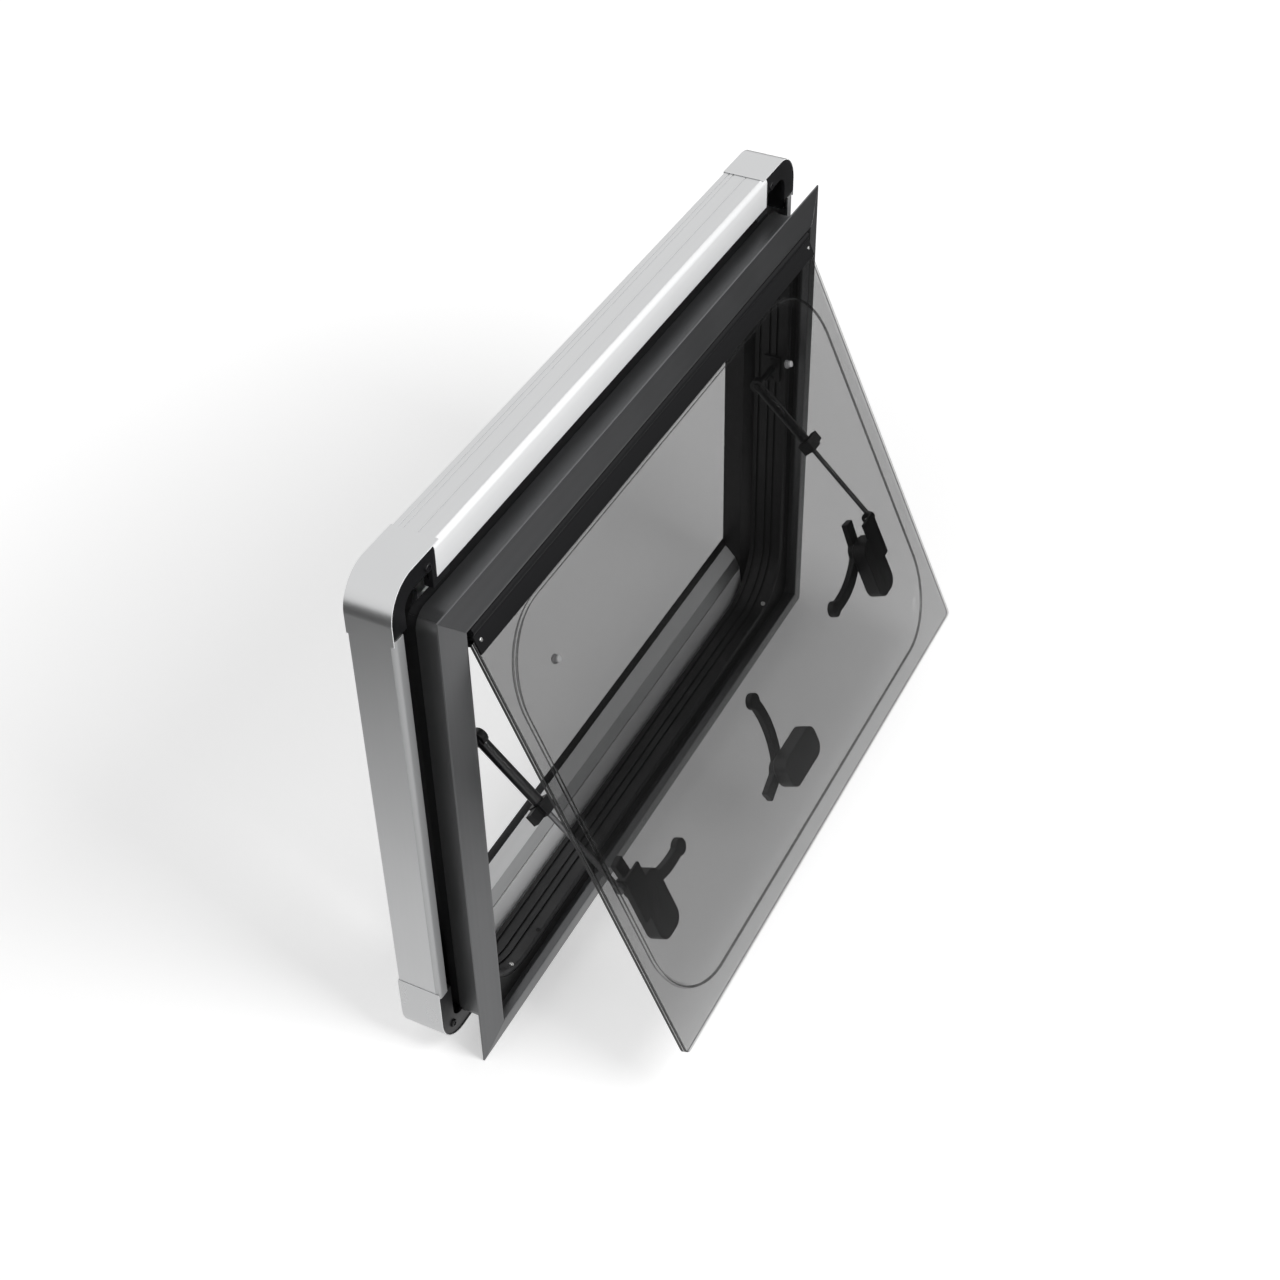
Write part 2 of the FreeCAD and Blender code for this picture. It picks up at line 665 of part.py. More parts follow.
def lever(mirrored):
    """Lever in its own plane, pivot at the origin, handle along +X, thickness along +Y."""
    sign = -1 if mirrored else 1
    half = lever_width / 2
    end = lever_handle_length - lever_knob_radius
    bow = lever_handle_bow

    def at(x, z):
        return Vector(x, 0, sign * z)

    band = Part.Wire([
        Part.Arc(at(0, half), at(end / 2, half + bow), at(end, half)).toShape(),
        Part.LineSegment(at(end, half), at(end, -half)).toShape(),
        Part.Arc(at(end, -half), at(end / 2, bow - half), at(0, -half)).toShape(),
        Part.LineSegment(at(0, -half), at(0, half)).toShape(),
    ])
    thickness = Vector(0, lever_thickness, 0)
    handle = Part.Face(band).extrude(thickness)
    knob = Part.makeCylinder(lever_knob_radius, lever_thickness, at(end, 0), Vector(0, 1, 0))
    hub = Part.makeCylinder(lever_hub_radius, lever_thickness, Vector(0, 0, 0), Vector(0, 1, 0))
    tail = box(0, lever_tail_length, 0, lever_thickness, -lever_tail_width / 2, lever_tail_width / 2)
    tail = turned(tail, sign * lever_tail_angle, Vector(0, 0, 0), Vector(0, 1, 0))
    hole = Part.makeCylinder(lever_pin_radius + lever_pin_fit, lever_thickness, Vector(0, 0, 0),
                             Vector(0, 1, 0))
    return handle.fuse([knob, hub, tail]).cut(hole).removeSplitter()


def latches(parts):
    spread = side_latch_half_spread
    places = {
        "left": (-spread, side_latch_drop, True, (0, latch_pivot_shift), -side_handle_droop, True),
        "right": (spread, side_latch_drop, True, (0, latch_pivot_shift), half_turn + side_handle_droop, False),
        "middle": (middle_latch_offset, middle_latch_drop, False, (-latch_pivot_shift, 0),
                   middle_handle_angle, True),
    }
    for name, (x, drop, upright, shift, handle_angle, mirrored) in places.items():
        pivot = on_sash(x + shift[0], drop - shift[1], inner_face + latch_base_height - tiny)
        pin = Part.makeCylinder(lever_pin_radius, lever_gap + lever_thickness + tiny, pivot, Vector(0, 1, 0))
        base = latch_base(x, drop, upright).fuse(pin)
        if upright:
            base = base.fuse(stay_ear(math.copysign(1, x)))
        parts[f"latch_base_{name}"] = opened(base.removeSplitter())
        arm = turned(lever(mirrored), -handle_angle, Vector(0, 0, 0), Vector(0, 1, 0))
        arm.translate(on_sash(x + shift[0], drop - shift[1], lever_level))
        parts[f"latch_lever_{name}"] = opened(arm)


# Stays


def stays(parts):
    end_point = swung(on_sash(0, stay_end_drop, stay_end_inset))
    direction = Vector(end_point - stay_pivot).normalize()
    for name, sx in (("left", -1), ("right", 1)):
        plane = Vector(sx * stay_plane, 0, 0)
        pivot = stay_pivot + plane
        end = end_point + plane
        across = Vector(sx, 0, 0)

        knuckle = Part.makeCylinder(stay_knuckle_radius, stay_knuckle_width,
                                    pivot - across * (stay_knuckle_width / 2), across)
        tube = Part.makeCylinder(stay_tube_radius, stay_tube_length, pivot, direction)
        bore = Part.makeCylinder(stay_bore_radius, stay_tube_length, pivot + direction * stay_knuckle_radius,
                                 direction)
        pin_hole = Part.makeCylinder(stay_pin_radius + stay_pin_fit, far, pivot - across * (far / 2), across)
        parts[f"stay_tube_{name}"] = tube.fuse(knuckle).cut(bore).cut(pin_hole).removeSplitter()

        collar_start = pivot + direction * (stay_tube_length - collar_length)
        clamp = Part.makeBox(collar_width, collar_width, collar_length)
        clamp.translate(Vector(-collar_width / 2, -collar_width / 2, 0))
        flag = Part.makeBox(collar_flag_reach, collar_flag_thickness, collar_flag_width)
        flag.translate(Vector(0, -collar_flag_thickness / 2, (collar_length - collar_flag_width) / 2))
        clamp = clamp.fuse(flag)
        clamp.Placement = Placement(collar_start, Rotation(Vector(sx, 0, 0), Vector(0, 0, 0), direction,
                                                           "ZXY"))
        inside = Part.makeCylinder(stay_tube_radius + collar_fit, collar_length, collar_start, direction)
        parts[f"stay_collar_{name}"] = clamp.cut(inside).removeSplitter()

        eye = Part.makeCylinder(stay_eye_radius, stay_eye_width, end - across * (stay_eye_width / 2), across)
        rod = Part.makeCylinder(stay_rod_radius, stay_rod_length, end, direction * -1)
        parts[f"stay_rod_{name}"] = rod.fuse(eye).removeSplitter()

        wall_x = liner_width / 2
        pin_start = stay_plane - stay_knuckle_width / 2
        pin = Part.makeCylinder(stay_pin_radius, wall_x - pin_start, Vector(sx * pin_start, pivot.y, pivot.z),
                                across)
        plate_x = sorted((sx * wall_x, sx * (wall_x - pivot_plate_thickness)))
        plate = box(*plate_x, pivot.y - pivot_plate_width / 2, pivot.y + pivot_plate_width / 2,
                    pivot.z - pivot_plate_height / 2, pivot.z + pivot_plate_height / 2)
        parts[f"stay_pivot_{name}"] = pin.fuse(plate).removeSplitter()


def main():
    parts = {}
    outer_frame(parts)
    liner(parts)
    seal(parts)
    cassette(parts)
    surround(parts)
    hinge(parts)
    panes(parts)
    latches(parts)
    stays(parts)
    os.makedirs("parts", exist_ok=True)
    for name, shape in parts.items():
        shape.exportStep(f"parts/{name}.step")
        print(name, len(shape.Solids), round(shape.Volume / 1000, 2), shape.isValid())


main()
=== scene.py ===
import json
import math
import bpy
from mathutils import Matrix, Vector


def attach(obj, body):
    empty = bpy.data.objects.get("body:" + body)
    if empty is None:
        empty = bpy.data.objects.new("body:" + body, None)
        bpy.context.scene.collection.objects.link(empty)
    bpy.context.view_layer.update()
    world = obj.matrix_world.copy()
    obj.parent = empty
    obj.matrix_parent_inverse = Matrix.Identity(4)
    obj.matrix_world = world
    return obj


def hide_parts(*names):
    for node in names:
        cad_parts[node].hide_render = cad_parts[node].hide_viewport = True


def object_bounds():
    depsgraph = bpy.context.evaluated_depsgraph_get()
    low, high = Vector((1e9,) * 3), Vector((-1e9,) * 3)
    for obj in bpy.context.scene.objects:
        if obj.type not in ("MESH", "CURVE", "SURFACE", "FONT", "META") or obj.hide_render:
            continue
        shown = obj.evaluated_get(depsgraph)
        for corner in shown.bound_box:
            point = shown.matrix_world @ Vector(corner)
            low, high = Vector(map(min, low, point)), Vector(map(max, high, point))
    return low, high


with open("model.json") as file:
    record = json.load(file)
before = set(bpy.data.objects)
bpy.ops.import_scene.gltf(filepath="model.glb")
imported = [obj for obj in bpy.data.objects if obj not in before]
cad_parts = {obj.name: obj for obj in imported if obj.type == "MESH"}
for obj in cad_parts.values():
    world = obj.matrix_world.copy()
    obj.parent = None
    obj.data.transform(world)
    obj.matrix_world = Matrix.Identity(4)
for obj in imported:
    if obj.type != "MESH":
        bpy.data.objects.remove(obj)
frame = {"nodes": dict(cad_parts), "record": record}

cad_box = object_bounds()

# Stage
# The window stands on a pale floor under a large soft lamp, with a weaker one at its left, as in a
# catalogue picture. The camera looks down on its outer face from the left, with a normal lens.

PHOTO_SIZE = 1280
FOCAL_PIXELS = 2055.0
SENSOR_WIDTH = 36.0
CAMERA_AZIMUTH = -62.498
CAMERA_ELEVATION = 41.533
CAMERA_ROLL = -1.249
CAMERA_PLACE = Vector((-1.3474, -0.6836, 1.5570))
FARTHEST_SEEN = 30.0

camera_data = bpy.data.cameras.new("camera")
camera_data.sensor_width = SENSOR_WIDTH
camera_data.lens = FOCAL_PIXELS / PHOTO_SIZE * SENSOR_WIDTH
camera_data.clip_end = FARTHEST_SEEN
camera = bpy.data.objects.new("camera", camera_data)
bpy.context.scene.collection.objects.link(camera)
turn = (Matrix.Rotation(math.radians(CAMERA_AZIMUTH), 4, "Z")
        @ Matrix.Rotation(math.radians(90 - CAMERA_ELEVATION), 4, "X")
        @ Matrix.Rotation(math.radians(CAMERA_ROLL), 4, "Z"))
camera.matrix_world = Matrix.Translation(CAMERA_PLACE) @ turn
bpy.context.scene.camera = camera
bpy.context.scene.view_settings.view_transform = "Standard"


def soft_lamp(name, place, aim, width, power):
    """Square lamp that shines from one place towards another."""
    data = bpy.data.lights.new(name, "AREA")
    data.shape = "SQUARE"
    data.size = width
    data.energy = power
    lamp = bpy.data.objects.new(name, data)
    lamp.location = place
    lamp.rotation_euler = (Vector(aim) - Vector(place)).to_track_quat("-Z", "Y").to_euler()
    bpy.context.scene.collection.objects.link(lamp)


soft_lamp("key_lamp", place=(-0.35, -1.35, 1.75), aim=(0, 0.05, 0.2), width=0.8, power=24)
soft_lamp("side_lamp", place=(-2.2, -0.6, 1.3), aim=(0, 0, 0.25), width=1.4, power=7)

ROOM_LIGHT = 0.5
ROOM_SEEN_IN_METAL = 0.8

world = bpy.data.worlds.new("studio")
bpy.context.scene.world = world
world.use_nodes = True
nodes, links = world.node_tree.nodes, world.node_tree.links
room = nodes["Background"]
room.inputs["Color"].default_value = (ROOM_LIGHT, ROOM_LIGHT, ROOM_LIGHT, 1)
mirrored = nodes.new("ShaderNodeBackground")
mirrored.inputs["Color"].default_value = (ROOM_SEEN_IN_METAL, ROOM_SEEN_IN_METAL, ROOM_SEEN_IN_METAL, 1)
backdrop = nodes.new("ShaderNodeBackground")
backdrop.inputs["Color"].default_value = (1, 1, 1, 1)


def by_ray(nodes, links, plain, glossy, seen):
    """Mix of three shaders: one for most rays, one for reflected rays, one for what the camera sees."""
    path = nodes.new("ShaderNodeLightPath")
    direct = nodes.new("ShaderNodeMath")
    direct.operation = "MAXIMUM"
    links.new(path.outputs["Is Camera Ray"], direct.inputs[0])
    links.new(path.outputs["Is Transmission Ray"], direct.inputs[1])
    reflected = nodes.new("ShaderNodeMixShader")
    links.new(path.outputs["Is Glossy Ray"], reflected.inputs["Fac"])
    links.new(plain, reflected.inputs[1])
    links.new(glossy, reflected.inputs[2])
    choice = nodes.new("ShaderNodeMixShader")
    links.new(direct.outputs["Value"], choice.inputs["Fac"])
    links.new(reflected.outputs["Shader"], choice.inputs[1])
    links.new(seen, choice.inputs[2])
    return choice.outputs["Shader"]


links.new(by_ray(nodes, links, room.outputs["Background"], mirrored.outputs["Background"],
                 backdrop.outputs["Background"]), nodes["World Output"].inputs["Surface"])

# Away from the window the floor turns as white as the backdrop for the camera, and darkens like
# the edge of a table for reflections in the window.
FLOOR_SIZE = 14.0
FLOOR_ALBEDO = 0.8
FLOOR_ROUGHNESS = 0.9
GLOW_NEAR, GLOW_FAR = 0.36, 0.6
GLOW_START, GLOW_END = 0.55, 1.5
TABLE_NEAR, TABLE_FAR = 0.38, 1.25
TABLE_BRIGHT, TABLE_DIM = 0.66, 0.06

bpy.ops.mesh.primitive_plane_add(size=FLOOR_SIZE, location=(0, 0, cad_box[0][2]))
floor = bpy.context.object
floor.name = "floor"
paper = bpy.data.materials.new("paper")
paper.use_nodes = True
nodes, links = paper.node_tree.nodes, paper.node_tree.links
shader = nodes["Principled BSDF"]
shader.inputs["Base Color"].default_value = (FLOOR_ALBEDO, FLOOR_ALBEDO, FLOOR_ALBEDO, 1)
shader.inputs["Roughness"].default_value = FLOOR_ROUGHNESS
glow = nodes.new("ShaderNodeEmission")
lit = nodes.new("ShaderNodeAddShader")
links.new(shader.outputs["BSDF"], lit.inputs[0])
links.new(glow.outputs["Emission"], lit.inputs[1])
place = nodes.new("ShaderNodeTexCoord")
reach = nodes.new("ShaderNodeVectorMath")
reach.operation = "LENGTH"
links.new(place.outputs["Object"], reach.inputs[0])
table = nodes.new("ShaderNodeEmission")
for light, numbers in ((table, (TABLE_NEAR, TABLE_FAR, TABLE_BRIGHT, TABLE_DIM)),
                       (glow, (GLOW_START, GLOW_END, GLOW_NEAR, GLOW_FAR))):
    fall = nodes.new("ShaderNodeMapRange")
    fall.interpolation_type = "SMOOTHSTEP"
    for label, number in zip(("From Min", "From Max", "To Min", "To Max"), numbers):
        fall.inputs[label].default_value = number
    links.new(reach.outputs["Value"], fall.inputs["Value"])
    links.new(fall.outputs["Result"], light.inputs["Strength"])
links.new(by_ray(nodes, links, shader.outputs["BSDF"], table.outputs["Emission"], lit.outputs["Shader"]),
          nodes["Material Output"].inputs["Surface"])
floor.data.materials.append(paper)

# Outer frame
# Four mitred aluminium lengths, each a sloping flange with a sleeve behind it, powder-coated
# in satin charcoal. The coat shows the fine lines of the drawn metal, and soft hand marks.

MM = 0.001
FRAME_EDGE = 0.35 * MM
COAT_LEVEL = ((0.14, 0.142, 0.146), (0.17, 0.172, 0.176))
# The side lengths get a lighter copy of the coat, painted light for the light that falls on them; the coat
# itself is one colour all round.
COAT_UPRIGHT_PAINTED_LIGHT = ((0.18, 0.182, 0.186), (0.21, 0.212, 0.216))


def new_group(name, inputs, outputs):
    """Empty shader group with its inputs and float outputs, and its two end nodes."""
    group = bpy.data.node_groups.new(name, "ShaderNodeTree")
    for label, kind, value in inputs:
        socket = group.interface.new_socket(name=label, in_out="INPUT", socket_type=kind)
        socket.default_value = value
    for label in outputs:
        group.interface.new_socket(name=label, in_out="OUTPUT", socket_type="NodeSocketFloat")
    return group, group.nodes.new("NodeGroupInput"), group.nodes.new("NodeGroupOutput")


def noise(tree, vector, detail, scale):
    """Noise texture on a vector socket. Its scale is a number, or a socket that gives one."""
    texture = tree.nodes.new("ShaderNodeTexNoise")
    texture.inputs["Detail"].default_value = detail
    tree.links.new(vector, texture.inputs["Vector"])
    if isinstance(scale, float):
        texture.inputs["Scale"].default_value = scale
    else:
        tree.links.new(scale, texture.inputs["Scale"])
    return texture.outputs["Fac"]


def spread(tree, value, low, high, to_low=0.0, to_high=1.0):
    """Value from one range mapped to another."""
    node = tree.nodes.new("ShaderNodeMapRange")
    for label, number in (("From Min", low), ("From Max", high), ("To Min", to_low), ("To Max", to_high)):
        node.inputs[label].default_value = number
    tree.links.new(value, node.inputs["Value"])
    return node.outputs["Result"]


ALONG = {"level": (3.0, 900.0, 900.0), "upright": (900.0, 900.0, 3.0)}
LINE_SCALE, LINE_DETAIL = 1.6, 4.0
STREAK_SCALE, STREAK_DETAIL = 0.12, 2.0

drawn_grain, ends_in, ends_out = new_group(
    "drawn_grain", [("Stretch", "NodeSocketVector", ALONG["level"])], ["Line", "Streak"])
spot = drawn_grain.nodes.new("ShaderNodeTexCoord")
long_way = drawn_grain.nodes.new("ShaderNodeVectorMath")
long_way.operation = "MULTIPLY"
drawn_grain.links.new(spot.outputs["Object"], long_way.inputs[0])
drawn_grain.links.new(ends_in.outputs["Stretch"], long_way.inputs[1])
for label, detail, scale in (("Line", LINE_DETAIL, LINE_SCALE), ("Streak", STREAK_DETAIL, STREAK_SCALE)):
    cloud = noise(drawn_grain, long_way.outputs["Vector"], detail, scale)
    drawn_grain.links.new(cloud, ends_out.inputs[label])

SMUDGE_DETAIL, SMUDGE_LOW, SMUDGE_HIGH = 5.0, 0.38, 0.68
DUST_DETAIL, DUST_LOW, DUST_HIGH = 2.0, 0.66, 0.74

hand_marks, ends_in, ends_out = new_group(
    "hand_marks", [("Scale", "NodeSocketFloat", 9.0), ("Dust Scale", "NodeSocketFloat", 700.0)],
    ["Smudge", "Dust"])
spot = hand_marks.nodes.new("ShaderNodeTexCoord")
for label, mark, detail, low, high in (("Scale", "Smudge", SMUDGE_DETAIL, SMUDGE_LOW, SMUDGE_HIGH),
                                       ("Dust Scale", "Dust", DUST_DETAIL, DUST_LOW, DUST_HIGH)):
    cloud = noise(hand_marks, spot.outputs["Object"], detail, ends_in.outputs[label])
    hand_marks.links.new(spread(hand_marks, cloud, low, high), ends_out.inputs[mark])


def put_group(material, group, **values):
    """A shared group in a material, with its own values."""
    node = material.node_tree.nodes.new("ShaderNodeGroup")
    node.node_tree = group
    for label, value in values.items():
        node.inputs[label].default_value = value
    return node


def shade_range(material, value, shades):
    """Colour between two shades that follows a value."""
    mix = material.node_tree.nodes.new("ShaderNodeMix")
    mix.data_type = "RGBA"
    ends = [socket for socket in mix.inputs if socket.type == "RGBA"]
    for end, shade in zip(ends, shades):
        end.default_value = (*shade, 1)
    material.node_tree.links.new(value, mix.inputs["Factor"])
    return [socket for socket in mix.outputs if socket.type == "RGBA"][0]


def relief(material, height, depth):
    """Bump from a height, with a depth in metres."""
    bump = material.node_tree.nodes.new("ShaderNodeBump")
    bump.inputs["Distance"].default_value = depth
    bump.inputs["Strength"].default_value = 1.0
    material.node_tree.links.new(height, bump.inputs["Height"])
    return bump.outputs["Normal"]


def new_finish(name, metallic=0.0):
    """New material with one surface shader."""
    material = bpy.data.materials.new(name)
    material.use_nodes = True
    shader = material.node_tree.nodes["Principled BSDF"]
    shader.inputs["Metallic"].default_value = metallic
    return material, material.node_tree, shader


LINE_LOW, LINE_HIGH = 0.3, 0.7
SMUDGE_WEAR = 0.07


def drawn_metal(name, stretch, shades, roughness, metallic, depth):
    """Finish of a drawn profile: fine lines along it in colour, gloss and relief, and soft hand marks."""
    material, tree, shader = new_finish(name, metallic)
    grain = put_group(material, drawn_grain, Stretch=stretch)
    marks = put_group(material, hand_marks)
    tree.links.new(shade_range(material, grain.outputs["Streak"], shades), shader.inputs["Base Color"])
    gloss = spread(tree, grain.outputs["Line"], LINE_LOW, LINE_HIGH, *roughness)
    worn = tree.nodes.new("ShaderNodeMath")
    worn.operation = "MULTIPLY_ADD"
    worn.inputs[1].default_value = SMUDGE_WEAR
    tree.links.new(marks.outputs["Smudge"], worn.inputs[0])
    tree.links.new(gloss, worn.inputs[2])
    tree.links.new(worn.outputs["Value"], shader.inputs["Roughness"])
    tree.links.new(relief(material, grain.outputs["Line"], depth), shader.inputs["Normal"])
    return material


# Lit copies of one coat: the upright copy is painted lighter than the level one.
charcoal = {way: drawn_metal(f"charcoal_coat_lit_as_{way}", ALONG[way], shades, roughness=(0.32, 0.37),
                             metallic=0.85, depth=0.002 * MM)
            for way, shades in (("level", COAT_LEVEL), ("upright", COAT_UPRIGHT_PAINTED_LIGHT))}


def only(piece):
    """Select one piece and nothing else."""
    bpy.ops.object.select_all(action="DESELECT")
    piece.select_set(True)
    bpy.context.view_layer.objects.active = piece


def home(piece, body, slot, *materials):
    """Leave a new piece at the origin with its place in its mesh, dressed and riding on its body."""
    only(piece)
    bpy.ops.object.transform_apply(location=True, rotation=True, scale=True)
    piece.data.materials.clear()
    for material in materials:
        piece.data.materials.append(material)
    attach(piece, body)
    return piece


SLOTS = {row["node"]: row["material_slot"] for row in frame["record"]["subparts"]}
BODIES = {node: body for body, members in frame["record"]["behaviour"]["bodies"].items() for node in members}
MERGE_DISTANCE = 0.002 * MM
FLAT_ANGLE = math.radians(0.6)
CREASE_ANGLE = math.radians(30)


def even_shading(piece, crease):
    """Smooth shading that leaves the large flat faces flat."""
    only(piece)
    bpy.ops.object.shade_smooth_by_angle(angle=crease)
    weighted = piece.modifiers.new("shading", "WEIGHTED_NORMAL")
    weighted.keep_sharp = True
    weighted.weight = 100
    bpy.ops.object.modifier_apply(modifier=weighted.name)


def softened(node_name, width, *materials, segments=2, crease=CREASE_ANGLE):
    """Copy of a CAD node with its sharp edges rounded, which stands for it."""
    mesh = frame["nodes"][node_name].data.copy()
    piece = bpy.data.objects.new(node_name + "_finished", mesh)
    bpy.context.scene.collection.objects.link(piece)
    only(piece)
    bpy.ops.object.mode_set(mode="EDIT")
    bpy.ops.mesh.select_all(action="SELECT")
    bpy.ops.mesh.remove_doubles(threshold=MERGE_DISTANCE)
    bpy.ops.mesh.dissolve_limited(angle_limit=FLAT_ANGLE)
    bpy.ops.object.mode_set(mode="OBJECT")
    if width:
        bevel = piece.modifiers.new("edges", "BEVEL")
        bevel.width = width
        bevel.segments = segments
        bevel.limit_method = "ANGLE"
        bevel.angle_limit = CREASE_ANGLE
        bevel.use_clamp_overlap = True
        bpy.ops.object.modifier_apply(modifier=bevel.name)
    even_shading(piece, crease)
    home(piece, BODIES[node_name], SLOTS[node_name], *materials)
    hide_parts(node_name)
    return piece


LENGTHS = {"top": "level", "bottom": "level", "left": "upright", "right": "upright"}
for length, way in LENGTHS.items():
    softened(f"outer_frame_{length}", FRAME_EDGE, charcoal[way])

# Seal
# Black rubber strip in the channel between the sleeve and the liner's lip. It keeps its sharp
# edges, because only its front face shows.

moulded_grain, ends_in, ends_out = new_group(
    "moulded_grain", [("Scale", "NodeSocketFloat", 1400.0)], ["Pebble"])
spot = moulded_grain.nodes.new("ShaderNodeTexCoord")
pebble = moulded_grain.nodes.new("ShaderNodeTexVoronoi")
pebble.feature = "SMOOTH_F1"
moulded_grain.links.new(ends_in.outputs["Scale"], pebble.inputs["Scale"])
moulded_grain.links.new(spot.outputs["Object"], pebble.inputs["Vector"])
moulded_grain.links.new(pebble.outputs["Distance"], ends_out.inputs["Pebble"])

MARK_SCALE = 22.0


def moulded(name, shades, roughness, grain_scale, depth, metallic=0.0):
    """Finish of a moulded piece: pebbled skin, soft hand marks in its gloss and a little dust."""
    material, tree, shader = new_finish(name, metallic)
    skin = put_group(material, moulded_grain, Scale=grain_scale)
    marks = put_group(material, hand_marks, Scale=MARK_SCALE)
    tree.links.new(shade_range(material, marks.outputs["Dust"], shades), shader.inputs["Base Color"])
    tree.links.new(spread(tree, marks.outputs["Smudge"], 0.0, 1.0, *roughness), shader.inputs["Roughness"])
    tree.links.new(relief(material, skin.outputs["Pebble"], depth), shader.inputs["Normal"])
    return material


rubber = moulded("black_rubber", ((0.004, 0.004, 0.004), (0.012, 0.012, 0.012)), roughness=(0.62, 0.75),
                 grain_scale=2200.0, depth=0.02 * MM)
softened("frame_seal", 0, rubber)

# Liner
# Ribbed black plastic lining of the sleeve in four mitred sides, with a rounded lip in front.
# One cross-slotted screw holds each round corner, and two small drain holes lie in its floor.

LINER_EDGE = 0.3 * MM
GROOVES = (20.0 * MM, 28.0 * MM, 39.0 * MM)
GROOVE_HALF = 1.2 * MM

ribbed = moulded("ribbed_plastic", ((0.015, 0.015, 0.016), (0.032, 0.032, 0.032)), roughness=(0.36, 0.5),
                 grain_scale=1600.0, depth=0.01 * MM)
for length in LENGTHS:
    lining = softened(f"reveal_liner_{length}", LINER_EDGE, ribbed, rubber)
    # The faces in the grooves get the darker rubber finish, as painted shade in the grooves.
    for polygon in lining.data.polygons:
        if min(abs(polygon.center.y - groove) for groove in GROOVES) < GROOVE_HALF:
            polygon.material_index = 1

zinc_plated = moulded("zinc_plated", ((0.62, 0.62, 0.61), (0.5, 0.5, 0.5)), roughness=(0.22, 0.38),
                      grain_scale=3000.0, depth=0.01 * MM, metallic=1.0)


def cut_away(piece, cutter):
    """Take one shape out of another."""
    only(piece)
    cut = piece.modifiers.new("cut", "BOOLEAN")
    cut.operation = "DIFFERENCE"
    cut.solver = "EXACT"
    cut.object = cutter
    bpy.ops.object.modifier_apply(modifier=cut.name)
    bpy.data.objects.remove(cutter)


def pick(piece, test):
    """Select in edit mode the edges of a piece whose both ends pass a test."""
    bpy.ops.mesh.select_mode(type="EDGE")
    bpy.ops.mesh.select_all(action="DESELECT")
    bpy.ops.object.mode_set(mode="OBJECT")
    passed = [test(vertex.co) for vertex in piece.data.vertices]
    for edge in piece.data.edges:
        edge.select = passed[edge.vertices[0]] and passed[edge.vertices[1]]
    bpy.ops.object.mode_set(mode="EDIT")


ROUND_SIDES = 32
DOME_STEPS = 5
TOP_BAND = 0.001


def domed_disc(name, height, dome):
    """Pattern of a small round piece: a disc of radius 1 that stands on z 0, with a rounded top edge."""
    bpy.ops.object.select_all(action="DESELECT")
    bpy.ops.mesh.primitive_cylinder_add(vertices=ROUND_SIDES, radius=1, depth=height,
                                        location=(0, 0, height / 2))
    bpy.ops.object.transform_apply(location=True)
    piece = bpy.context.object
    piece.name = name
    bpy.ops.object.mode_set(mode="EDIT")
    pick(piece, lambda co: co.z > height - TOP_BAND)
    bpy.ops.mesh.bevel(offset=dome, segments=DOME_STEPS, profile=0.5, affect="EDGES")
    bpy.ops.object.mode_set(mode="OBJECT")
    bpy.ops.object.shade_smooth_by_angle(angle=CREASE_ANGLE)
    return piece


def slotted(piece, length, width, depth, height, turns):
    """Cut slots into the top of a disc, one for each turn."""
    for turn in turns:
        bpy.ops.mesh.primitive_cube_add(size=1, location=(0, 0, height))
        cutter = bpy.context.object
        cutter.scale = (length, width, 2 * depth)
        cutter.rotation_euler = (0, 0, math.radians(turn))
        bpy.ops.object.transform_apply(location=True, rotation=True, scale=True)
        cut_away(piece, cutter)
    only(piece)
    bpy.ops.object.shade_smooth_by_angle(angle=CREASE_ANGLE)


def bored(piece, radius, floor):
    """Sink a round hole into the top of a disc, down to a height."""
    bpy.ops.mesh.primitive_cylinder_add(vertices=ROUND_SIDES, radius=radius, depth=1,
                                        location=(0, 0, floor + 0.5))
    cut_away(piece, bpy.context.object)


def placed(pattern, name, place, outward, radius, material, body, slot, turn=0.0):
    """Copy of a small pattern piece, its base on a place and its axis pointing outward."""
    piece = bpy.data.objects.new(name, pattern.data.copy())
    bpy.context.scene.collection.objects.link(piece)
    aim = Vector(outward).normalized().to_track_quat("Z", "Y").to_matrix().to_4x4()
    piece.data.transform(Matrix.Translation(Vector(place)) @ aim
                         @ Matrix.Rotation(math.radians(turn), 4, "Z") @ Matrix.Scale(radius, 4))
    return home(piece, body, slot, material)


SCREW_HEIGHT, SCREW_DOME = 0.55, 0.4
SLOT_LENGTH, SLOT_WIDTH, SLOT_DEPTH = 1.2, 0.2, 0.32
screw_head = domed_disc("screw_pattern", SCREW_HEIGHT, SCREW_DOME)
slotted(screw_head, SLOT_LENGTH, SLOT_WIDTH, SLOT_DEPTH, SCREW_HEIGHT, turns=(0, 90))

SIDES = {"left": -1, "right": 1}
LINER_HALF = 0.3292
LINER_TOP, LINER_BOTTOM = 0.4882, 0.0318
LINER_RADIUS = 0.060
LINER_LET_IN = 0.1 * MM
LINER_SCREW_INSET = 11.2 * MM
LINER_SCREW_LEAN = math.radians(68)
LINER_SCREW_RADIUS = 2.6 * MM
for side, sx in SIDES.items():
    for length, edge, sz in (("top", LINER_TOP, 1), ("bottom", LINER_BOTTOM, -1)):
        middle = Vector((sx * (LINER_HALF - LINER_RADIUS), LINER_SCREW_INSET, edge - sz * LINER_RADIUS))
        outwards = Vector((sx * math.cos(LINER_SCREW_LEAN), 0, sz * math.sin(LINER_SCREW_LEAN)))
        seat = middle + outwards * (LINER_RADIUS + LINER_LET_IN)
        placed(screw_head, f"liner_screw_{length}_{side}", seat, -outwards, LINER_SCREW_RADIUS, zinc_plated,
               "frame", "steel_rod", turn=20)

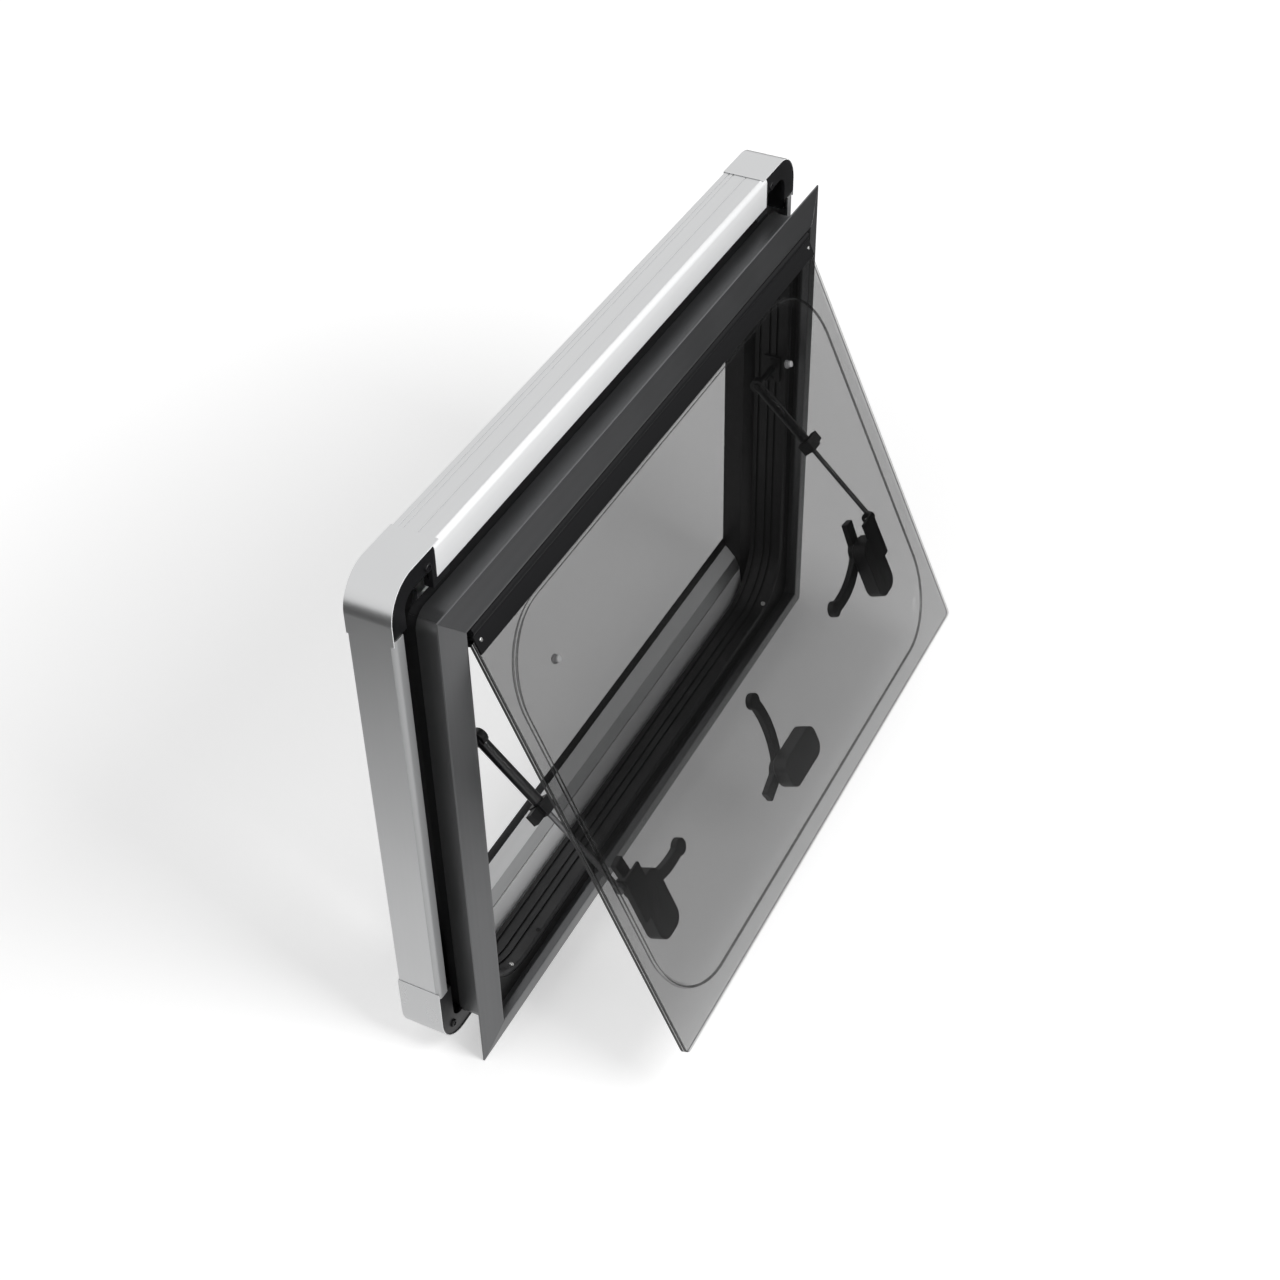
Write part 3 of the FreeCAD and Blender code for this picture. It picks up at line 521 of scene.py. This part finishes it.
DRAIN_X, DRAIN_Y = 0.240, 0.0107
DRAIN_RADIUS = 2.2 * MM
drain = domed_disc("drain_pattern", height=0.3, dome=0.12)
bored(drain, radius=0.62, floor=0.1)
for side, sx in SIDES.items():
    placed(drain, f"drain_eyelet_{side}", (sx * DRAIN_X, DRAIN_Y, LINER_BOTTOM - LINER_LET_IN), (0, 0, 1),
           DRAIN_RADIUS, rubber, "frame", "black_rubber")

# Inner frame
# Four aluminium rails with a rounded front edge and fine grooves along the top and bottom ones,
# satin anodised in silver. They clamp the wall from inside the vehicle.

RAIL_EDGE = 0.25 * MM
FRONT_FACING, FRONT_DEPTH = -0.1, 37.5 * MM

silver = {way: drawn_metal(f"silver_anodised_{way}", ALONG[way],
                           ((0.76, 0.765, 0.77), (0.80, 0.805, 0.81)), roughness=(0.28, 0.295),
                           metallic=1.0, depth=0.0005 * MM)
          for way in ALONG}
# Copies of the rail finish with light painted in: near white as painted light on the lit fronts of the top
# and bottom rails, grey as painted shade on the side rails' fronts. The surround's ramp and strip also take
# the pale one.
lit_and_shaded_silver = {"level": drawn_metal("pale_painted_light_level", ALONG["level"],
                              ((0.85, 0.855, 0.86), (0.89, 0.895, 0.90)), roughness=(0.60, 0.68),
                              metallic=0.05, depth=0.002 * MM),
         "upright": drawn_metal("grey_painted_shade_upright", ALONG["upright"],
                                ((0.46, 0.465, 0.47), (0.52, 0.525, 0.53)), roughness=(0.34, 0.42),
                                metallic=0.4, depth=0.002 * MM)}


def paint_light_on_front(piece):
    """Give the front edge, which presses on the wall, the second material: a copy of the finish with its
    light and shade painted in.
    """
    for polygon in piece.data.polygons:
        if polygon.normal.y < FRONT_FACING and polygon.center.y < FRONT_DEPTH:
            polygon.material_index = 1


# The front faces get the painted light and shade.
for length, way in LENGTHS.items():
    paint_light_on_front(softened(f"cassette_{length}", RAIL_EDGE, silver[way], lit_and_shaded_silver[way]))

# Corner joints
# Black moulded pieces that join the rails, let in behind their front edges, each with a round
# boss for the screw that draws the frame together.

JOINT_EDGE = 0.4 * MM
JOINT_FACE = 32.0 * MM
BOSS_LET_IN = 0.02 * MM
BOSS_RADIUS = 4.0 * MM
BOSSES = {"top": (0.328, 0.5435), "bottom": (0.3665, 0.022)}

joint_black = moulded("joint_plastic", ((0.007, 0.007, 0.008), (0.02, 0.02, 0.02)), roughness=(0.34, 0.5),
                      grain_scale=1500.0, depth=0.03 * MM)
boss = domed_disc("boss_pattern", height=0.5, dome=0.18)
bored(boss, radius=0.55, floor=0.25)
for side, sx in SIDES.items():
    for length, (boss_x, boss_z) in BOSSES.items():
        softened(f"corner_joint_{length}_{side}", JOINT_EDGE, joint_black)
        seat = (sx * boss_x, JOINT_FACE + BOSS_LET_IN, boss_z)
        placed(boss, f"joint_boss_{length}_{side}", seat, (0, -1, 0), BOSS_RADIUS, joint_black, "frame",
               "black_plastic")

# Corner caps
# Silver covers over the rails' ends, bent round the corner, with a flat plate on the room side.
# Their satin finish is like the rails', but without the lines of drawing.

CAP_EDGE = 0.2 * MM
CAP_GRAIN = (25.0, 25.0, 25.0)

cap_silver = drawn_metal("silver_cap", CAP_GRAIN, ((0.77, 0.775, 0.78), (0.79, 0.795, 0.80)),
                         roughness=(0.24, 0.27), metallic=1.0, depth=0.0005 * MM)
# The caps' front faces get the pale painted-light copy, as on the rails.
for side in SIDES:
    for length in ("top", "bottom"):
        paint_light_on_front(softened(f"corner_cap_{length}_{side}", CAP_EDGE, cap_silver, lit_and_shaded_silver["level"]))

# Inner surround
# Stepped silver housings above and below the opening, each with a black rim and a groove line painted black
# as shade, and smooth black plastic guides at the opening's sides. The ramp and strip carry painted light,
# the ledge painted shade.

SURROUND_EDGE = 0.3 * MM
STEP_CREASE = math.radians(8)
MIDDLE_HEIGHT = 0.260
RIM_TO = 0.1775
LEDGE_FROM, LEDGE_TO = 0.1904, 0.2030
GROOVE_TO = 0.2056

guide_black = moulded("guide_plastic", ((0.012, 0.012, 0.013), (0.03, 0.03, 0.03)), roughness=(0.3, 0.42),
                      grain_scale=1800.0, depth=0.02 * MM)
# Darker copy of the silver, painted shade for the ledge; the ramp and strip take the pale painted-light copy.
ledge_painted_shade = drawn_metal("ledge_painted_shade", ALONG["level"], ((0.50, 0.505, 0.51), (0.58, 0.585, 0.59)),
                          roughness=(0.30, 0.36), metallic=0.9, depth=0.002 * MM)
for length in ("top", "bottom"):
    housing = softened(f"surround_{length}", SURROUND_EDGE, lit_and_shaded_silver["level"], ledge_painted_shade, guide_black,
                       crease=STEP_CREASE)
    for polygon in housing.data.polygons:
        height = abs(polygon.center.z - MIDDLE_HEIGHT)
        if LEDGE_FROM < height < LEDGE_TO:
            polygon.material_index = 1
        # The groove's faces are painted black as the shade in it; the rim is black.
        elif height < RIM_TO or LEDGE_TO < height < GROOVE_TO:
            polygon.material_index = 2
for side in SIDES:
    softened(f"surround_{side}", SURROUND_EDGE, guide_black)

# Hinge
# A bead on the frame in the socket of a leaf that grips the top of the sash over its whole width,
# both drawn profiles in a near-black coat. A small screw holds each end.

HINGE_EDGE = 0.2 * MM
HINGE_SCREW_X, HINGE_SCREW_DROP, HINGE_SCREW_INSET = 0.3275, 0.0115, -2.0 * MM
HINGE_SCREW_RADIUS = 1.9 * MM

leaf_coat = drawn_metal("leaf_coat", ALONG["level"], ((0.006, 0.006, 0.0065), (0.011, 0.011, 0.012)),
                        roughness=(0.36, 0.42), metallic=0.0, depth=0.004 * MM)
leaf_coat.node_tree.nodes["Principled BSDF"].inputs["IOR"].default_value = 1.24
for name in ("hinge_rail", "hinge_leaf"):
    softened(name, HINGE_EDGE, leaf_coat)

JOINTS = {joint["name"]: joint for joint in frame["record"]["behaviour"]["joints"]}
HINGE = Vector(JOINTS["sash_hinge"]["pos_m"])
OPEN_ANGLE = math.radians(-JOINTS["sash_hinge"]["range_deg"][0])
DOWN_SASH = Vector((0, -math.sin(OPEN_ANGLE), -math.cos(OPEN_ANGLE)))
INTO_ROOM = Vector((0, math.cos(OPEN_ANGLE), -math.sin(OPEN_ANGLE)))


def on_sash(x, drop, inset):
    """Point on the open sash, by its distance below the hinge and behind the outer face."""
    return Vector((x, 0, 0)) + HINGE + DOWN_SASH * drop + INTO_ROOM * inset


for side, sx in SIDES.items():
    seat = on_sash(sx * HINGE_SCREW_X, HINGE_SCREW_DROP, HINGE_SCREW_INSET)
    placed(screw_head, f"hinge_screw_{side}", seat, -INTO_ROOM, HINGE_SCREW_RADIUS, zinc_plated, "sash",
           "steel_rod", turn=35)

# Sash
# A flat outer sheet and an inner one blown to a raised middle, both smoked acrylic, bonded along
# their margin. The wall of the raised part bends sharply at its foot and softly at its crown.

SMOKE_OF_FACE, SMOKE_OF_EDGE = 0.235, 0.85
EDGE_FROM, EDGE_TO = 0.62, 0.97
ACRYLIC_IOR = 1.6
WAVE_SCALE, WAVE_DEPTH = 5.0, 0.4 * MM


def smoked_sheet(name, shade, roughness, from_range, to_range):
    """Tinted clear finish that grows denser as the sheet turns away from the eye."""
    material, tree, shader = new_finish(name)
    shader.inputs["Base Color"].default_value = (shade, shade, shade, 1)
    shader.inputs["Roughness"].default_value = roughness
    shader.inputs["IOR"].default_value = ACRYLIC_IOR
    slant = tree.nodes.new("ShaderNodeLayerWeight")
    slant.inputs["Blend"].default_value = 0.5
    tree.links.new(spread(tree, slant.outputs["Facing"], *from_range, *to_range), shader.inputs["Alpha"])
    return material, tree, shader


smoked, tree, shader = smoked_sheet("smoked_acrylic", 0.001, roughness=0.01,
                                    from_range=(EDGE_FROM, EDGE_TO), to_range=(SMOKE_OF_FACE, SMOKE_OF_EDGE))
spot = tree.nodes.new("ShaderNodeTexCoord")
wave = noise(tree, spot.outputs["Object"], 0.0, WAVE_SCALE)
tree.links.new(relief(smoked, wave, WAVE_DEPTH), shader.inputs["Normal"])

# Near-opaque dark copy of the acrylic for the bends: a painted dark line, painted shade where the clear sheet
# turns.
shade_line_paint, _, _ = smoked_sheet("acrylic_painted_shade_line", 0.004, roughness=0.02, from_range=(0.0, 0.8),
                          to_range=(0.75, 0.92))

# The sawn edge is dark from outside and hardly there when seen from within the sheet.
SAWN_OUTSIDE, SAWN_INSIDE = 0.97, 0.15
sawn_edge = moulded("polished_edge", ((0.010, 0.010, 0.011), (0.025, 0.025, 0.025)), roughness=(0.25, 0.4),
                    grain_scale=900.0, depth=0.01 * MM)
tree = sawn_edge.node_tree
which_side = tree.nodes.new("ShaderNodeNewGeometry")
tree.links.new(spread(tree, which_side.outputs["Backfacing"], 0.0, 1.0, SAWN_OUTSIDE, SAWN_INSIDE),
               tree.nodes["Principled BSDF"].inputs["Alpha"])


def inset_of(point):
    """Distance of a point behind the sash's outer face."""
    return (point - HINGE).dot(INTO_ROOM)


def drop_of(point):
    """Distance of a point below the hinge along the sash."""
    return (point - HINGE).dot(DOWN_SASH)


SHEET = 3.0 * MM
BOND_GAP = 0.05 * MM
SASH_HALF = 0.334
SASH_TOP, SASH_LOW = 0.0075, 0.469
EDGE_BAND = 0.4 * MM
EDGE_SLOPE = 0.9


def dark_edges(piece):
    """Give the second material to the sheet's four sides."""
    for polygon in piece.data.polygons:
        middle = polygon.center
        at_side = abs(middle.x) > SASH_HALF - EDGE_BAND
        at_end = drop_of(middle) > SASH_LOW - EDGE_BAND or drop_of(middle) < SASH_TOP + EDGE_BAND
        if abs(polygon.normal.dot(INTO_ROOM)) < EDGE_SLOPE and (at_side or at_end):
            polygon.material_index = 1


SHEET_EDGE = 0.8 * MM
ROUNDED_FROM, ROUNDED_TO = 0.1, 0.95
outer = softened("outer_pane", SHEET_EDGE, smoked, sawn_edge, shade_line_paint)
for vertex in outer.data.vertices:
    if inset_of(vertex.co) > SHEET - EDGE_BAND:
        vertex.co -= INTO_ROOM * BOND_GAP
dark_edges(outer)
# The outer sheet's rounded edges get the painted dark line.
for polygon in outer.data.polygons:
    if ROUNDED_FROM < abs(polygon.normal.dot(INTO_ROOM)) < ROUNDED_TO:
        polygon.material_index = 2

# Each step of the inner sheet's wall goes so many millimetres in and so many up, from foot to crown.
DOME_HALF = 0.314
DOME_TOP, DOME_LOW = 0.028, 0.450
DOME_RADIUS = 0.076
SHEET_RADIUS = 0.006
CORNER_STEPS = 24
WALL_STEPS = ((0.9, 0.35), (0.6, 0.6), (0.4, 0.8), (2.2, 3.6), (1.0, 1.25), (1.3, 1.15), (1.7, 0.95),
              (2.2, 0.7), (2.9, 0.45), (3.8, 0.15))


def rounded_sheet(name, half_width, top, low, radius):
    """Flat rounded rectangle in the sash's own plane, X across and Y up from the hinge."""
    bpy.ops.object.select_all(action="DESELECT")
    bpy.ops.mesh.primitive_plane_add(size=1, location=(0, -(top + low) / 2, 0))
    piece = bpy.context.object
    piece.name = name
    piece.scale = (2 * half_width, low - top, 1)
    bpy.ops.object.transform_apply(location=True, scale=True)
    bpy.ops.object.mode_set(mode="EDIT")
    bpy.ops.mesh.select_all(action="SELECT")
    bpy.ops.mesh.bevel(offset=radius, segments=CORNER_STEPS, affect="VERTICES")
    bpy.ops.object.mode_set(mode="OBJECT")
    return piece


rim = rounded_sheet("rim", SASH_HALF, SASH_TOP, SASH_LOW, SHEET_RADIUS)
inner = rounded_sheet("inner_pane_finished", DOME_HALF, DOME_TOP, DOME_LOW, DOME_RADIUS)
only(inner)
bpy.ops.object.mode_set(mode="EDIT")
bpy.ops.mesh.select_mode(type="FACE")
bpy.ops.mesh.select_all(action="SELECT")
for inwards, rise in WALL_STEPS:
    bpy.ops.mesh.inset(thickness=inwards * MM, depth=0)
    bpy.ops.transform.translate(value=(0, 0, -rise * MM))
bpy.ops.object.mode_set(mode="OBJECT")

# The rim's outline and the foot of the wall are joined, and the margin between them is filled.
only(rim)
bpy.ops.object.mode_set(mode="EDIT")
bpy.ops.mesh.select_all(action="SELECT")
bpy.ops.mesh.delete(type="ONLY_FACE")
bpy.ops.object.mode_set(mode="OBJECT")
rim.select_set(True)
inner.select_set(True)
bpy.context.view_layer.objects.active = inner
bpy.ops.object.join()
bpy.ops.object.mode_set(mode="EDIT")
bpy.ops.mesh.select_mode(type="EDGE")
bpy.ops.mesh.select_all(action="DESELECT")
bpy.ops.mesh.select_non_manifold(extend=False, use_wire=True, use_boundary=True, use_multi_face=False,
                                 use_non_contiguous=False, use_verts=False)
bpy.ops.mesh.fill()
bpy.ops.mesh.select_mode(type="FACE")
bpy.ops.mesh.select_all(action="DESELECT")
bpy.ops.object.mode_set(mode="OBJECT")
for polygon in inner.data.polygons:
    polygon.select = polygon.normal.z < 0
bpy.ops.object.mode_set(mode="EDIT")
bpy.ops.mesh.flip_normals()
bpy.ops.object.mode_set(mode="OBJECT")

walls = inner.modifiers.new("walls", "SOLIDIFY")
walls.thickness = SHEET - BOND_GAP
walls.offset = -1
walls.use_even_offset = True
bpy.ops.object.modifier_apply(modifier=walls.name)
inner.data.transform(Matrix.Translation(HINGE) @ Matrix.Rotation(math.radians(90) - OPEN_ANGLE, 4, "X")
                     @ Matrix.Translation((0, 0, -SHEET - BOND_GAP)))
only(inner)
bpy.ops.object.shade_smooth_by_angle(angle=CREASE_ANGLE)
home(inner, "sash", "smoked_acrylic", smoked, sawn_edge, shade_line_paint)
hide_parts("inner_pane")
dark_edges(inner)

LEVEL_SLOPE = 0.99999
BEND_SLOPE = 0.2
BEND_FROM, BEND_TO = 0.02 * MM, 1.78 * MM
# The foot of the inner sheet's wall gets the painted dark line.
for polygon in inner.data.polygons:
    slope = polygon.normal.dot(INTO_ROOM)
    foot = SHEET + BOND_GAP if slope < 0 else 2 * SHEET
    if abs(slope) > LEVEL_SLOPE:
        polygon.use_smooth = False
    if abs(slope) > BEND_SLOPE and BEND_FROM < inset_of(polygon.center) - foot < BEND_TO:
        polygon.material_index = 2

# Plugs
# Clear plastic plugs that close the two breathing holes of the inner sheet, each with a coin slot in its head
# and a stem that fills the hole. Their pale colour is a painted highlight.

PLUG_X, PLUG_DROP, PLUG_INSET = 0.243, 0.094, 16.02 * MM
PLUG_RADIUS = 4.5 * MM
PLUG_HEIGHT, PLUG_DOME = 0.34, 0.2
COIN_LENGTH, COIN_WIDTH, COIN_DEPTH = 1.1, 0.18, 0.16
STEM_LENGTH, STEM_RADIUS, STEM_OVERLAP = 1.05, 0.72, 0.02
STEM_EDGE = 0.15

# Pale colour that paints the plug's highlight, varied by smudges.
plug_painted_highlight, tree, shader = new_finish("clear_plug")
marks = put_group(plug_painted_highlight, hand_marks, Scale=60.0)
tree.links.new(shade_range(plug_painted_highlight, marks.outputs["Smudge"], ((0.94, 0.94, 0.95), (0.8, 0.8, 0.81))),
               shader.inputs["Base Color"])
shader.inputs["Roughness"].default_value = 0.12
shader.inputs["IOR"].default_value = 1.46

plug = domed_disc("plug_pattern", PLUG_HEIGHT, PLUG_DOME)
slotted(plug, COIN_LENGTH, COIN_WIDTH, COIN_DEPTH, PLUG_HEIGHT, turns=(90,))
bpy.ops.mesh.primitive_cylinder_add(vertices=ROUND_SIDES, radius=STEM_RADIUS, depth=STEM_LENGTH,
                                    location=(0, 0, STEM_OVERLAP - STEM_LENGTH / 2))
stem = bpy.context.object
bpy.ops.object.transform_apply(location=True)
bpy.ops.object.mode_set(mode="EDIT")
pick(stem, lambda co: co.z < -STEM_LENGTH / 2)
bpy.ops.mesh.bevel(offset=STEM_EDGE, segments=3, profile=0.5, affect="EDGES")
bpy.ops.object.mode_set(mode="OBJECT")
plug.select_set(True)
bpy.context.view_layer.objects.active = plug
bpy.ops.object.join()
bpy.ops.object.shade_smooth_by_angle(angle=CREASE_ANGLE)
pair = [placed(plug, f"pane_plug_{side}", on_sash(sx * PLUG_X, PLUG_DROP, PLUG_INSET), INTO_ROOM, PLUG_RADIUS,
               plug_painted_highlight, "sash", "clear_plug", turn=8)
        for side, sx in SIDES.items()]
for piece in pair:
    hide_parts("pane_plugs")

# Latches
# Black nylon housings fixed to the inner sheet, each with a curved lever that swings behind the
# frame's edge on a domed screw. The side ones also carry the ear of a stay.

BASE_EDGE, LEVER_EDGE = 0.8 * MM, 1.2 * MM
LEVER_FACE = 40.92 * MM
LEVER_SCREW_RADIUS = 4.6 * MM
LATCHES = {"left": (-0.263, 0.333), "middle": (-0.008, 0.409), "right": (0.263, 0.333)}

nylon = moulded("latch_nylon", ((0.006, 0.006, 0.007), (0.02, 0.02, 0.02)), roughness=(0.33, 0.48),
                grain_scale=1300.0, depth=0.04 * MM)
for name, (x, drop) in LATCHES.items():
    softened(f"latch_base_{name}", BASE_EDGE, nylon, segments=3)
    softened(f"latch_lever_{name}", LEVER_EDGE, nylon, segments=4)
    placed(screw_head, f"latch_screw_{name}", on_sash(x, drop, LEVER_FACE), INTO_ROOM, LEVER_SCREW_RADIUS,
           nylon, f"lever_{name}", "black_plastic", turn=15)

# Stays
# A black tube on a wall pivot with a clamping collar at its end, and a steel rod that slides in it,
# with its eye beside the latch's ear. Two screws hold the pivot, and rivets close its pin and the ear.

TUBE_EDGE, COLLAR_EDGE, ROD_EDGE, PIVOT_EDGE = 0.5 * MM, 0.8 * MM, 0.3 * MM, 0.6 * MM
STAY_X, STAY_Y, STAY_Z = JOINTS["stay_right_pivot"]["pos_m"]
STAY_PIVOT = Vector((0, STAY_Y, STAY_Z))
PLATE_X = 0.32618
PLATE_SCREW_RADIUS = 2.4 * MM
PLATE_SCREWS = {"lower": -11.0 * MM, "upper": 11.0 * MM}
PIN_END, PIN_RADIUS = 4.0 * MM, 4.4 * MM
EAR_END, EAR_RIVET_RADIUS = 6.8 * MM, 2.6 * MM
EAR_DROP, EAR_INSET = 0.309, 23.5 * MM

tube_paint = moulded("tube_paint", ((0.010, 0.010, 0.011), (0.03, 0.03, 0.03)), roughness=(0.24, 0.36),
                     grain_scale=2500.0, depth=0.01 * MM)
rod_steel = moulded("rod_steel", ((0.20, 0.20, 0.205), (0.16, 0.16, 0.16)), roughness=(0.26, 0.38),
                    grain_scale=2500.0, depth=0.01 * MM, metallic=1.0)
rivet_head = domed_disc("rivet_pattern", height=0.5, dome=0.42)
for side, sx in SIDES.items():
    inwards = Vector((-sx, 0, 0))
    softened(f"stay_tube_{side}", TUBE_EDGE, tube_paint)
    softened(f"stay_collar_{side}", COLLAR_EDGE, nylon, segments=3)
    softened(f"stay_rod_{side}", ROD_EDGE, rod_steel)
    softened(f"stay_pivot_{side}", PIVOT_EDGE, joint_black)
    for where, up in PLATE_SCREWS.items():
        placed(screw_head, f"pivot_screw_{where}_{side}", STAY_PIVOT + Vector((sx * PLATE_X, 0, up)), inwards,
               PLATE_SCREW_RADIUS, joint_black, "frame", "black_plastic", turn=40)
    placed(rivet_head, f"pivot_rivet_{side}", STAY_PIVOT + Vector((sx * (STAY_X - PIN_END), 0, 0)), inwards,
           PIN_RADIUS, joint_black, "frame", "black_plastic")
    placed(rivet_head, f"ear_rivet_{side}", on_sash(sx * (STAY_X - EAR_END), EAR_DROP, EAR_INSET), inwards,
           EAR_RIVET_RADIUS, zinc_plated, "sash", "steel_rod")

# Clearing up
# The patterns of the small pieces go.

for pattern in (screw_head, drain, boss, plug, rivet_head):
    bpy.data.objects.remove(pattern)
